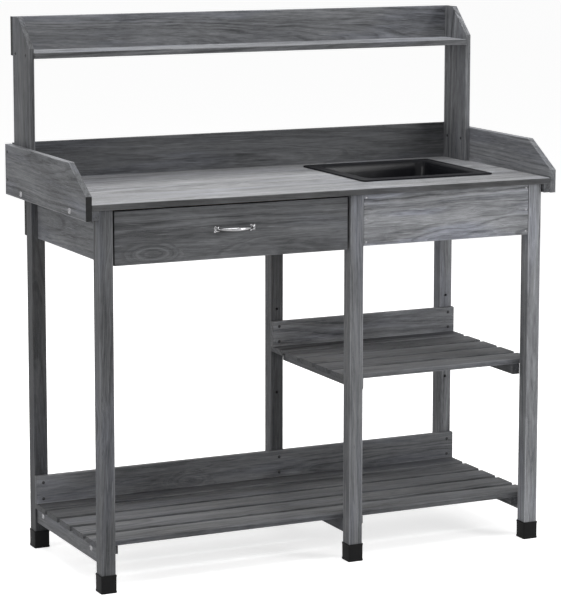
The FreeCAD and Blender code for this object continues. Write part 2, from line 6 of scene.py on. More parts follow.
import bmesh
import bpy
from mathutils import Matrix, Vector


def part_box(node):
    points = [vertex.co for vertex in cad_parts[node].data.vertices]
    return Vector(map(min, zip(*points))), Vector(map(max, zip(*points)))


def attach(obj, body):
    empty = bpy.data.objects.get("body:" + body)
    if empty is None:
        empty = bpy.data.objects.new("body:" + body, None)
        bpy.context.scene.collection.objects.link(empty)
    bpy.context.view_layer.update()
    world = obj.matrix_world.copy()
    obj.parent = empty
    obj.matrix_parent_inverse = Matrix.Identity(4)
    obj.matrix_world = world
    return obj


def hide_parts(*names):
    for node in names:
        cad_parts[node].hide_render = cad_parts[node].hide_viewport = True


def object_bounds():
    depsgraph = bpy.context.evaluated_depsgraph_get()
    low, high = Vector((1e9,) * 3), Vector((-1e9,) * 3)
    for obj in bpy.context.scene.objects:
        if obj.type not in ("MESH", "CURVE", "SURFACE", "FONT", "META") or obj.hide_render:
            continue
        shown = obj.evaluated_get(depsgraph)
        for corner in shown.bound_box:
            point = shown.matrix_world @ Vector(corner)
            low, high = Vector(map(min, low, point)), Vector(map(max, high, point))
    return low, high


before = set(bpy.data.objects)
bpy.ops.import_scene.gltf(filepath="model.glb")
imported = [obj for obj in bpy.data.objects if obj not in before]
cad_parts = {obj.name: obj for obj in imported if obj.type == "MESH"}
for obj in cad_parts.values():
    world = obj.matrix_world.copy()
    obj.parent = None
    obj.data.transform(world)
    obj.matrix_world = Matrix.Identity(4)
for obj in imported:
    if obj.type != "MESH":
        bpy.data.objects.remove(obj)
cad_low, cad_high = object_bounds()

bl_info = {
    "name": "Potting Bench",
    "version": (1, 0, 0),
    "blender": (4, 5, 0),
    "location": "View3D > Sidebar > Potting Bench",
    "description": "Builds the boards, slats, sink tray, handle and fixings of a potting bench",
    "category": "Add Mesh",
}

MM = 0.001
CAP_NODES = [row + "_" + column + "_foot_cap" for row in ("front", "back")
             for column in ("left", "middle", "right")]
DRAWER_BOARDS = ["drawer_left_side", "drawer_right_side", "drawer_back", "drawer_bottom"]
INNER_BOARDS = ["drawer_runners", "drawer_stops", "front_apron_cleats", "middle_shelf_dowels"]
SLAT_COUNT = sum(node.startswith("bottom_shelf_slat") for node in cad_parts)

# How much lighter or darker each stained board is than the middle of the stain: partly each board's
# own tone, partly painted light and shade, such as the shaded back left leg and the brightly lit
# front right leg and upper shelf
TONES_AND_LIGHT = {
    "front_left_leg": 0.78, "front_middle_leg": 1.17, "front_right_leg": 1.75,
    "back_left_leg": 0.48, "back_middle_leg": 0.74, "back_right_leg": 1.4,
    "left_side_board": 0.91, "right_side_board": 1.35,
    "left_upright": 0.72, "right_upright": 1.25,
    "upper_back_board": 1.11, "upper_shelf": 1.9, "splash_back": 0.85,
    "left_end_apron": 0.95, "right_end_apron": 0.95, "back_apron": 0.9,
    "front_apron": 1.63, "middle_apron": 0.9, "drawer_front": 0.84,
    "bottom_shelf_back_board": 1.14, "middle_shelf_back_board": 1.6,
    "bottom_left_rail": 0.9, "bottom_middle_rail": 0.8, "bottom_right_rail": 0.9,
    "bottom_bearers": 0.8, "middle_bearers": 0.8, "top_battens": 0.85, "worktop": 0.86,
}

# How bright the sawn ends and the long edges of a board are beside its faces: the ends are darker
# end grain, the long edges' brightness is painted light and shade
ENDS_AND_EDGE_LIGHT = {"left_side_board": (0.05, 1.3), "right_side_board": (0.8, 1.15),
        "worktop": (0.5, 0.24), "upper_shelf": (0.6, 0.42), "top_battens": (0.9, 0.9),
        "back_apron": (0.05, 0.9), "upper_back_board": (0.1, 0.9)}
PLAIN_ENDS_AND_EDGE_LIGHT = (0.55, 0.9)

# The marks that make up the grain: whether they bend with the rings, how often they come
# along, across and through the board, their detail and roughness, and their weight
GRAIN = {
    "broad": (True, (1.1, 24.0, 24.0), 2.0, 0.5, 0.40),
    "streaks": (True, (2.4, 95.0, 95.0), 3.0, 0.6, 0.75),
    "fibres": (False, (14.0, 400.0, 400.0), 2.0, 0.6, 0.62),
    "cloud": (False, (4.2, 13.0, 13.0), 4.0, 0.6, 0.62),
    "flecks": (False, (48.0, 210.0, 210.0), 2.0, 0.6, 0.30),
    "drift": (False, (1.3, 3.0, 3.0), 1.0, 0.5, 0.26),
}
RING_WEIGHT = 0.75
LATE_WEIGHT = 0.10
MIDDLE_SHADE = 0.43
PLANK_WIDTH = 96 * MM          # planks that the worktop is glued up from
BLUE_STAIN = (0.90, 0.95, 1.20, 1.0)
WHITE = (1.0, 1.0, 1.0, 1.0)

SLAT_EASE = 1.1 * MM
SAME_POINT = 0.005 * MM        # corners nearer than this are one corner
HEAD_SEAT = 0.2 * MM           # a fixing's head goes into the wood by this much

FLOOR_HALF = 30.0
FLOOR_GREY = (0.80, 0.80, 0.80, 1.0)
FLOOR_GLOW = 0.68              # what the seen floor needs to come up to white
SENSOR_WIDTH = 36.0
LAMP_TARGET = (0.0, 0.0, 0.6)
# Each lamp's name, place, size and power
LAMPS = (
    ("key", (2.9, -3.1, 1.9), 1.5, 72.0),
    ("top", (-0.2, -0.5, 3.6), 2.2, 84.0),
    ("left", (-3.8, -0.8, 1.4), 1.8, 40.0),
    ("back", (0.8, 3.8, 2.2), 2.0, 40.0),
)


# ---------------------------------------------------------------- settings

class WoodSettings(bpy.types.PropertyGroup):
    stain_dark: bpy.props.FloatVectorProperty(
        name="Dark stain", description="Colour of the darkest grain", subtype="COLOR",
        default=(0.042, 0.0432, 0.0458))
    stain_light: bpy.props.FloatVectorProperty(
        name="Light stain", description="Colour of the palest grain", subtype="COLOR",
        default=(0.205, 0.2095, 0.2195))
    worktop_dark: bpy.props.FloatVectorProperty(
        name="Dark worktop", description="Darkest grain of the worktop", subtype="COLOR",
        default=(0.105, 0.1065, 0.110))
    worktop_light: bpy.props.FloatVectorProperty(
        name="Light worktop", description="Palest grain of the worktop", subtype="COLOR",
        default=(0.440, 0.445, 0.458))
    bare_dark: bpy.props.FloatVectorProperty(
        name="Dark bare wood", description="Late wood of the unstained boards",
        subtype="COLOR", default=(0.30, 0.20, 0.11))
    bare_light: bpy.props.FloatVectorProperty(
        name="Light bare wood", description="Early wood of the unstained boards",
        subtype="COLOR", default=(0.56, 0.43, 0.28))
    ring_gap: bpy.props.FloatProperty(
        name="Ring gap", description="Distance between growth rings", unit="LENGTH",
        default=7.0 * MM, min=1.0 * MM)


class HardwareSettings(bpy.types.PropertyGroup):
    steel: bpy.props.FloatVectorProperty(
        name="Steel", description="Colour of the bolts, screws and nails", subtype="COLOR",
        default=(0.30, 0.30, 0.31))
    nickel: bpy.props.FloatVectorProperty(
        name="Handle metal", description="Colour of the drawer handle", subtype="COLOR",
        default=(0.43, 0.43, 0.44))
    rubber: bpy.props.FloatVectorProperty(
        name="Cap plastic", description="Colour of the foot caps", subtype="COLOR",
        default=(0.009, 0.009, 0.0095))
    tray: bpy.props.FloatVectorProperty(
        name="Tray plastic", description="Colour of the sink tray", subtype="COLOR",
        default=(0.008, 0.0082, 0.010))


class StageSettings(bpy.types.PropertyGroup):
    camera_place: bpy.props.FloatVectorProperty(
        name="Camera place", description="Where the camera stands", subtype="TRANSLATION",
        unit="LENGTH", default=(-2.4729, -5.1990, 1.5535))
    camera_azimuth: bpy.props.FloatProperty(
        name="Azimuth", description="Camera's turn about the bench", subtype="ANGLE",
        default=math.radians(-26.189))
    camera_elevation: bpy.props.FloatProperty(
        name="Elevation", description="How far the camera looks down", subtype="ANGLE",
        default=math.radians(8.168))
    camera_roll: bpy.props.FloatProperty(
        name="Roll", description="Camera's tilt to one side", subtype="ANGLE",
        default=math.radians(0.154))
    lens: bpy.props.FloatProperty(
        name="Lens", description="Focal length in millimetres", default=153.98, min=1.0)
    shift: bpy.props.FloatVectorProperty(
        name="Shift", description="Lens shift, across and up", size=2,
        default=(-0.0592, -0.12))
    ambient: bpy.props.FloatProperty(
        name="Ambient", description="Strength of the soft light from all round",
        default=0.36, min=0.0)


class BenchSettings(bpy.types.PropertyGroup):
    wood: bpy.props.PointerProperty(type=WoodSettings, name="Wood",
                                    description="Stains and grain")
    hardware: bpy.props.PointerProperty(type=HardwareSettings, name="Hardware",
                                        description="Metal and plastic")
    stage: bpy.props.PointerProperty(type=StageSettings, name="Stage",
                                     description="Camera and light")


def settings():
    """The bench's settings, kept in the scene."""
    return bpy.context.scene.potting_bench


# ---------------------------------------------------------------- node trees

class Nodes:
    """Adds nodes to a tree and joins them."""

    def __init__(self, tree):
        self.tree = tree

    def put(self, socket, value):
        if isinstance(value, bpy.types.NodeSocket):
            self.tree.links.new(value, socket)
        else:
            socket.default_value = value

    def add(self, kind, inputs=(), **choices):
        node = self.tree.nodes.new(kind)
        for name, value in choices.items():
            setattr(node, name, value)
        for name, value in dict(inputs).items():
            self.put(node.inputs[name], value)
        return node


class Shader(Nodes):
    """A material's tree, with short names for the nodes that recur in it."""

    def __init__(self, name):
        self.material = bpy.data.materials.new(name)
        self.material.use_nodes = True
        super().__init__(self.material.node_tree)
        self.bsdf = self.tree.nodes["Principled BSDF"]

    def math(self, operation, first, second=0.0, clamp=False):
        node = self.add("ShaderNodeMath", {0: first, 1: second}, operation=operation,
                        use_clamp=clamp)
        return node.outputs[0]

    def vector(self, operation, first, second):
        node = self.add("ShaderNodeVectorMath", {0: first, 1: second}, operation=operation)
        return node.outputs[0]

    def span(self, value, low, high, to_low=0.0, to_high=1.0):
        """A smooth step of value from low to high."""
        node = self.add("ShaderNodeMapRange", {"Value": value, "From Min": low,
                                               "From Max": high, "To Min": to_low,
                                               "To Max": to_high},
                        interpolation_type="SMOOTHSTEP")
        return node.outputs["Result"]

    def attribute(self, name, output):
        return self.add("ShaderNodeAttribute", attribute_name=name).outputs[output]

    def noise(self, vector, scale, detail=2.0, roughness=0.55):
        return self.add("ShaderNodeTexNoise", {"Vector": vector, "Scale": scale,
                                               "Detail": detail, "Roughness": roughness})

    def mix(self, factor, first, second, blend="MIX"):
        node = self.add("ShaderNodeMix", data_type="RGBA", blend_type=blend)
        self.put(node.inputs[0], factor)
        self.put(node.inputs[6], first)
        self.put(node.inputs[7], second)
        return node.outputs[2]

    def scaled(self, base, share):
        """A colour times a number that varies over the surface."""
        shares = self.add("ShaderNodeCombineColor", {"Red": share, "Green": share,
                                                     "Blue": share})
        return self.mix(1.0, base, shares.outputs["Color"], "MULTIPLY")

    def roughen(self, pattern, spread, least, more=0.0):
        """Roughness from least to least plus spread, as a pattern says, and more on top."""
        node = self.add("ShaderNodeMath", {0: pattern, 1: spread, 2: least},
                        operation="MULTIPLY_ADD")
        self.put(self.bsdf.inputs["Roughness"],
                 self.math("ADD", node.outputs[0], more, clamp=True))

    def bump(self, height, strength, distance):
        node = self.add("ShaderNodeBump", {"Height": height, "Strength": strength,
                                           "Distance": distance})
        self.put(self.bsdf.inputs["Normal"], node.outputs["Normal"])


def colour(rgb, share=1.0):
    """An opaque colour, from red, green and blue times a share."""
    return (*[min(c * share, 1.0) for c in rgb], 1.0)


# ---------------------------------------------------------------- finishes

def place_in_log(s, grain, number):
    """Where a point lies in the log: its heart is beside the board, and leans along it."""
    luck = s.add("ShaderNodeTexWhiteNoise", {"W": number}, noise_dimensions="1D")
    lean = s.add("ShaderNodeTexWhiteNoise", {"W": s.math("ADD", number, 0.5)},
                 noise_dimensions="1D")
    heart = s.vector("MULTIPLY", s.vector("SUBTRACT", luck.outputs["Color"], (0.5, 0.5, -0.3)),
                     (9.0, 0.12, 0.07))
    along = s.add("ShaderNodeSeparateXYZ", {"Vector": grain}).outputs["X"]
    run = s.add("ShaderNodeCombineXYZ", {"Y": along, "Z": along})
    slope = s.vector("MULTIPLY", s.vector("SUBTRACT", lean.outputs["Color"], (0.5, 0.5, 0.5)),
                     (0.0, 0.05, 0.13))
    return s.vector("ADD", s.vector("ADD", grain, heart),
                    s.vector("MULTIPLY", run.outputs["Vector"], slope))


def knots(s, log):
    """Knots in some cells of a long net: how far each reaches, and its dark core."""
    net = s.add("ShaderNodeTexVoronoi", {"Vector": s.vector("MULTIPLY", log, (4.2, 12.0, 5.0)),
                                         "Scale": 1.0, "Randomness": 0.9})
    cell = s.add("ShaderNodeSeparateColor", {"Color": net.outputs["Color"]}).outputs["Red"]
    here = s.span(cell, 0.83, 0.85)
    reach = s.math("MULTIPLY", here, s.span(net.outputs["Distance"], 0.02, 0.36, 1.0, 0.0))
    core = s.math("MULTIPLY", here, s.span(net.outputs["Distance"], 0.03, 0.10, 1.0, 0.0))
    return reach, core


def pushed_aside(s, log, reach, sway_by):
    """The place in the log, pushed round the knots and swaying along the board."""
    push = s.add("ShaderNodeCombineXYZ", {"Y": s.math("MULTIPLY", reach, 0.016),
                                          "Z": s.math("MULTIPLY", reach, 0.030)})
    sway = s.noise(s.vector("MULTIPLY", log, (2.6, 9.0, 9.0)), 1.0, 3.0, 0.55)
    bend = s.vector("MULTIPLY", s.vector("SUBTRACT", sway.outputs["Color"], (0.5, 0.5, 0.5)),
                    (0.0, sway_by, sway_by))
    return s.vector("ADD", s.vector("ADD", log, push.outputs["Vector"]), bend)


def growth_rings(s, bent, gap):
    """Rings of uneven width and dark late lines, from how far a point is from the heart."""
    flat = s.vector("MULTIPLY", bent, (0.0, 1.0, 1.0))
    radius = s.add("ShaderNodeVectorMath", {0: flat}, operation="LENGTH").outputs["Value"]
    rings = s.add("ShaderNodeTexNoise", {"W": radius, "Scale": 1.0 / gap,
                                         "Detail": 3.0, "Roughness": 0.62},
                  noise_dimensions="1D").outputs["Fac"]
    lines = s.add("ShaderNodeTexNoise", {"W": radius, "Scale": 2.3 / gap,
                                         "Detail": 1.0}, noise_dimensions="1D").outputs["Fac"]
    return rings, s.span(lines, 0.40, 0.30)


def wear_edge_light_and_end_grain(s, base, light, grain, cloud):
    """Paler corners, partly worn and partly painted highlight, long edges lightened or darkened as
    painted light and shade, and darker sawn ends, by the nearness of the faces.
    """
    half = s.attribute("half", "Vector")
    depth = s.vector("SUBTRACT", half, s.vector("ABSOLUTE", grain, (0.0, 0.0, 0.0)))
    near = s.add("ShaderNodeSeparateXYZ", {"Vector": depth})
    ends_and_edge_light = s.add("ShaderNodeSeparateXYZ", {"Vector": s.attribute("ends_and_edge_light", "Vector")})
    side = s.math("MAXIMUM", near.outputs["Y"], near.outputs["Z"])
    # Paler corners: partly worn stain, partly painted highlight along the edges
    wear_and_highlight = s.math("MULTIPLY", s.span(side, 0.8 * MM, 3.2 * MM, 1.0, 0.0),
                  s.span(cloud, 0.40, 0.60))
    base = s.mix(s.math("MULTIPLY", wear_and_highlight, 0.55), base, colour(light, 1.3))
    # Long edge faces scaled as painted light and shade, such as the worktop's darker front edge;
    # sawn ends darker as end grain
    edge = s.span(near.outputs["Y"], 0.3 * MM, 1.1 * MM, 1.0, 0.0)
    end = s.span(near.outputs["X"], 0.2 * MM, 0.9 * MM, 1.0, 0.0)
    for where, share in ((edge, ends_and_edge_light.outputs["Y"]), (end, ends_and_edge_light.outputs["X"])):
        base = s.mix(where, base, s.scaled(base, share))
    return base


def wood_finish(name, dark, light, contrast=1.35, strip=0.0, tint=0.25, sway_by=0.030):
    """Sawn softwood: growth rings about a heart line beside each board, fibres and knots.

    A board's own coordinates come from its grain attribute (along, across, thick), its half
    sizes from half, its place in the log from piece, its brightness from tone_and_light (its own
    tone, with painted light and shade), and how dark its ends and long edges are from
    ends_and_edge_light (darker end grain, and painted light and shade on the long edges).
    A strip width splits the board into glued planks.
    """
    s = Shader(name)
    grain = s.attribute("grain", "Vector")
    number = s.attribute("piece", "Fac")
    if strip:
        across = s.add("ShaderNodeSeparateXYZ", {"Vector": grain}).outputs["Y"]
        row = s.math("FLOOR", s.math("DIVIDE", across, strip))
        number = s.math("ADD", number, s.math("MULTIPLY", row, 0.371))
    log = place_in_log(s, grain, number)
    reach, core = knots(s, log)
    bent = pushed_aside(s, log, reach, sway_by)
    rings, late = growth_rings(s, bent, settings().wood.ring_gap)

    shade = s.math("MULTIPLY", s.math("SUBTRACT", rings, 0.5), RING_WEIGHT * contrast)
    marks = {}
    for mark, (bends, often, detail, roughness, weight) in GRAIN.items():
        marks[mark] = s.noise(s.vector("MULTIPLY", bent if bends else log, often), 1.0,
                              detail, roughness).outputs["Fac"]
        part = s.math("SUBTRACT", marks[mark], 0.5)
        shade = s.math("ADD", shade, s.math("MULTIPLY", part, weight * contrast))
    shade = s.math("SUBTRACT", shade, s.math("MULTIPLY", late, LATE_WEIGHT * contrast))
    shade = s.math("ADD", shade, MIDDLE_SHADE, clamp=True)
    base = s.mix(shade, colour(dark), colour(light))
    blue = s.noise(s.vector("MULTIPLY", log, (3.0, 22.0, 22.0)), 1.0, 2.0, 0.5)
    base = s.mix(s.span(blue.outputs["Fac"], 0.48, 0.68, 0.0, tint), base, BLUE_STAIN,
                 "MULTIPLY")

    # Pale brush marks, dark pin marks and the knots' cores
    brush = s.noise(s.vector("MULTIPLY", log, (12.0, 330.0, 330.0)), 1.0, 1.0, 0.5)
    base = s.mix(s.span(brush.outputs["Fac"], 0.64, 0.76, 0.0, 0.32), base,
                 colour(light, 1.5))
    pins = s.noise(s.vector("MULTIPLY", log, (22.0, 260.0, 260.0)), 2.1, 1.0, 0.5)
    base = s.mix(s.span(pins.outputs["Fac"], 0.70, 0.78, 0.0, 0.6), base, colour(dark))
    base = s.mix(s.math("MULTIPLY", core, 0.5), base, colour(dark, 0.5))

    base = wear_edge_light_and_end_grain(s, base, light, grain, marks["cloud"])
    # Each board's brightness: its own tone with painted light and shade
    base = s.scaled(base, s.attribute("tone_and_light", "Fac"))
    s.put(s.bsdf.inputs["Base Color"], base)
    s.roughen(marks["streaks"], 0.22, 0.58)
    s.bsdf.inputs["Specular IOR Level"].default_value = 0.25
    relief = s.math("ADD", s.math("MULTIPLY", rings, 0.7),
                    s.math("ADD", marks["streaks"], marks["fibres"]))
    s.bump(relief, 0.4, 0.5 * MM)
    return s.material


def metal_finish(name, rgb, roughness, brushed=1.0):
    """Plated metal with faint rubbing marks, darkened by a vertex attribute that paints shade and
    dark reflection into it.
    """
    s = Shader(name)
    spot = s.add("ShaderNodeTexCoord").outputs["Object"]
    rubs = s.noise(s.vector("MULTIPLY", spot, (900.0, 900.0, 2600.0)), 1.0, 3.0)
    dull = s.noise(spot, 160.0, 2.0)
    tint = s.mix(s.span(dull.outputs["Fac"], 0.35, 0.7), colour(rgb, 0.82), colour(rgb))
    # Painted shade and painted dark reflection, where the handle's vertex attribute asks for it
    painted_shade = s.attribute("painted_shade", "Fac")
    tint = s.mix(s.math("MULTIPLY", painted_shade, 0.9), tint, colour(rgb, 0.08))
    s.put(s.bsdf.inputs["Base Color"], tint)
    s.bsdf.inputs["Metallic"].default_value = 1.0
    s.roughen(rubs.outputs["Fac"], 0.2 * brushed, roughness)
    s.bump(rubs.outputs["Fac"], 0.12 * brushed, 0.05 * MM)
    return s.material


def plastic_finish(name, rgb, roughness, pebble, ior, matt_above=cad_high[2]):
    """Black moulded plastic: a fine spark-eroded texture, with dust in it.

    Above the height matt_above it is matt, as a tray's rim is.
    """
    s = Shader(name)
    s.bsdf.inputs["IOR"].default_value = ior
    spot = s.add("ShaderNodeTexCoord").outputs["Object"]
    skin = s.noise(spot, 1500.0, 2.0)
    dust = s.noise(spot, 38.0, 4.0, 0.65)
    tint = s.mix(s.span(dust.outputs["Fac"], 0.5, 0.8, 0.0, 0.5), colour(rgb),
                 colour([c * 1.9 + 0.004 for c in rgb]))
    s.put(s.bsdf.inputs["Base Color"], tint)
    up = s.add("ShaderNodeSeparateXYZ", {"Vector": spot}).outputs["Z"]
    matt = s.span(up, matt_above, matt_above + 2 * MM, 0.0, 0.6)
    s.roughen(dust.outputs["Fac"], 0.4 * roughness, roughness, matt)
    s.bump(skin.outputs["Fac"], pebble, 0.08 * MM)
    return s.material


def make_finish(name):
    wood = settings().wood
    hardware = settings().hardware
    stain = (wood.stain_dark, wood.stain_light)
    if name == "stained_softwood":
        return wood_finish(name, *stain)
    if name == "figured_softwood":
        return wood_finish(name, *stain, contrast=1.6, tint=0.35, sway_by=0.06)
    if name == "worktop_softwood":
        return wood_finish(name, wood.worktop_dark, wood.worktop_light, contrast=1.6,
                           strip=PLANK_WIDTH, tint=0.2)
    if name == "bare_softwood":
        return wood_finish(name, wood.bare_dark, wood.bare_light, contrast=0.8, tint=0.0)
    if name == "zinc_plate":
        return metal_finish(name, hardware.steel, 0.34)
    if name == "dull_steel":
        return metal_finish(name, [c * 0.7 for c in hardware.steel], 0.5)
    if name == "blackened_steel":
        return metal_finish(name, [c * 0.22 for c in hardware.steel], 0.5)
    if name == "cast_nickel":
        return metal_finish(name, hardware.nickel, 0.14, brushed=0.4)
    if name == "cap_moulding":
        return plastic_finish(name, hardware.rubber, 0.5, 0.5, ior=1.18)
    if name == "tray_moulding":
        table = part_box("worktop")[1].z
        return plastic_finish(name, hardware.tray, 0.16, 0.08, ior=1.22, matt_above=table)
    raise RuntimeError("no finish called " + name)


FINISHES = {}


def finish(name):
    """The named finish, made once."""
    if name not in FINISHES:
        FINISHES[name] = make_finish(name)
    return FINISHES[name]


# ---------------------------------------------------------------- meshes

def new_object(name, mesh, material=None):
    """An object in the scene, with its one material."""
    obj = bpy.data.objects.new(name, mesh)
    bpy.context.scene.collection.objects.link(obj)
    if material:
        mesh.materials.clear()
        mesh.materials.append(material)
    return obj


def place(obj, body, slot, *nodes):
    """The piece rides on its body, and stands for the CAD nodes."""
    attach(obj, body)
    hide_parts(*nodes)


def merged_copy(node):
    """A bmesh of a CAD node's triangles, joined at their corners."""
    bm = bmesh.new()
    bm.from_mesh(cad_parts[node].data)
    bmesh.ops.remove_doubles(bm, verts=bm.verts, dist=SAME_POINT)
    return bm


def islands(bm):
    """The separate solids in a bmesh, as lists of vertices."""
    left = set(bm.verts)
    found = []
    for start in bm.verts:
        if start not in left:
            continue
        left.discard(start)
        island = [start]
        for vert in island:
            for edge in vert.link_edges:
                other = edge.other_vert(vert)
                if other in left:
                    left.discard(other)
                    island.append(other)
        found.append(island)
    return found


def extent(verts):
    """The lowest and highest corners of some vertices."""
    low = Vector([min(v.co[i] for v in verts) for i in range(3)])
    high = Vector([max(v.co[i] for v in verts) for i in range(3)])
    return low, high


def grained_board(node, material):
    """A copy of a CAD board that carries its own grain directions, sizes, and tone with painted
    light and shade.
    """
    bm = merged_copy(node)
    grain = bm.verts.layers.float_vector.new("grain")
    half = bm.verts.layers.float_vector.new("half")
    piece = bm.verts.layers.float.new("piece")
    tone_and_light = bm.verts.layers.float.new("tone_and_light")
    ends_and_edge_light = bm.verts.layers.float_vector.new("ends_and_edge_light")
    chance = random.Random(node)
    for island in islands(bm):
        low, high = extent(island)
        centre, size = (low + high) / 2, high - low
        along, across, thick = sorted(range(3), key=lambda axis: -size[axis])
        own_number = chance.random() * 50
        own_tone_and_light = TONES_AND_LIGHT.get(node, 1.0) * chance.uniform(0.97, 1.03)
        for vert in island:
            offset = vert.co - centre
            vert[grain] = (offset[along], offset[across], offset[thick])
            vert[half] = (size[along] / 2, size[across] / 2, size[thick] / 2)
            vert[piece] = own_number
            vert[tone_and_light] = own_tone_and_light
            vert[ends_and_edge_light] = (*ENDS_AND_EDGE_LIGHT.get(node, PLAIN_ENDS_AND_EDGE_LIGHT), 0.0)
    mesh = bpy.data.meshes.new("board_" + node)
    bm.to_mesh(mesh)
    bm.free()
    return new_object("board_" + node, mesh, material)


def rounded_loop(half_x, half_y, radius, z, centre, steps=7):
    """Points round a rectangle with round corners, anticlockwise from above."""
    points = []
    for corner, (sx, sy) in enumerate(((1, 1), (-1, 1), (-1, -1), (1, -1))):
        for step in range(steps + 1):
            angle = math.pi / 2 * (corner + step / steps)
            points.append((centre.x + sx * (half_x - radius) + radius * math.cos(angle),
                           centre.y + sy * (half_y - radius) + radius * math.sin(angle), z))
    return points


def skin(bm, rows):
    """Faces between rings of vertices, in their order; a ring may be one vertex."""
    for near, far in zip(rows, rows[1:]):
        sides = max(len(near), len(far))
        for i in range(sides):
            j = (i + 1) % sides
            face = [near[i % len(near)], near[j % len(near)],
                    far[j % len(far)], far[i % len(far)]]
            bm.faces.new(list(dict.fromkeys(face)))


def closed_mesh(bm, name):
    """A mesh from a bmesh whose faces are turned outwards."""
    bmesh.ops.recalc_face_normals(bm, faces=bm.faces)
    mesh = bpy.data.meshes.new(name)
    bm.to_mesh(mesh)
    bm.free()
    return mesh


def lofted(name, loops):
    """A closed skin through loops of equally many points, capped at both ends."""
    bm = bmesh.new()
    rows = [[bm.verts.new(point) for point in loop] for loop in loops]
    skin(bm, rows)
    bm.faces.new(reversed(rows[0]))
    bm.faces.new(rows[-1])
    return closed_mesh(bm, name)


def smooth(obj, degrees=35):
    """Smooth shading, but for edges sharper than an angle."""
    obj.data.polygons.foreach_set("use_smooth", [True] * len(obj.data.polygons))
    obj.data.set_sharp_from_angle(angle=math.radians(degrees))


# ---------------------------------------------------------------- geometry nodes

class Growth(Nodes):
    """A geometry tree with named inputs, put on an object as a modifier."""

    def __init__(self, name):
        super().__init__(bpy.data.node_groups.new(name, "GeometryNodeTree"))
        self.inside = self.tree.nodes.new("NodeGroupInput")
        self.outside = self.tree.nodes.new("NodeGroupOutput")
        self.values = {}
        self.tree.interface.new_socket(name="Geometry", in_out="OUTPUT",
                                       socket_type="NodeSocketGeometry")
        self.ask("Geometry", "NodeSocketGeometry")

    def ask(self, name, kind, value=None):
        """A named input, with the value that the modifier will be given."""
        socket = self.tree.interface.new_socket(name=name, in_out="INPUT", socket_type=kind)
        if value is not None:
            self.values[socket.identifier] = value
        return self.inside.outputs[name]

    def store(self, geometry, name, value, kind, domain="POINT"):
        """Keeps a value on the geometry under a name, for the finishes to read."""
        node = self.add("GeometryNodeStoreNamedAttribute", data_type=kind, domain=domain)
        self.put(node.inputs["Geometry"], geometry)
        self.put(node.inputs["Name"], name)
        self.put(node.inputs["Value"], value)
        return node.outputs["Geometry"]

    def draw(self, low, high, seed):
        """A random number between low and high for each point."""
        node = self.add("FunctionNodeRandomValue", data_type="FLOAT")
        index = self.add("GeometryNodeInputIndex").outputs["Index"]
        sockets = [s for s in node.inputs if s.enabled]
        for socket, value in zip(sockets, (low, high, index, seed)):
            self.put(socket, value)
        return next(s for s in node.outputs if s.enabled)

    def close(self, geometry, material):
        """Ends the tree in Realize Instances and Set Material."""
        real = self.add("GeometryNodeRealizeInstances", {"Geometry": geometry})
        painted = self.add("GeometryNodeSetMaterial", {"Geometry": real.outputs["Geometry"],
                                                       "Material": material})
        self.put(self.outside.inputs["Geometry"], painted.outputs["Geometry"])

    def grow(self, obj):
        """Runs the tree on an object and leaves it as a plain mesh."""
        modifier = obj.modifiers.new("growth", "NODES")
        modifier.node_group = self.tree
        for identifier, value in self.values.items():
            modifier[identifier] = value
        obj.update_tag()
        graph = bpy.context.evaluated_depsgraph_get()
        graph.update()
        mesh = bpy.data.meshes.new_from_object(obj.evaluated_get(graph))
        obj.modifiers.remove(modifier)
        obj.data = mesh
        return obj


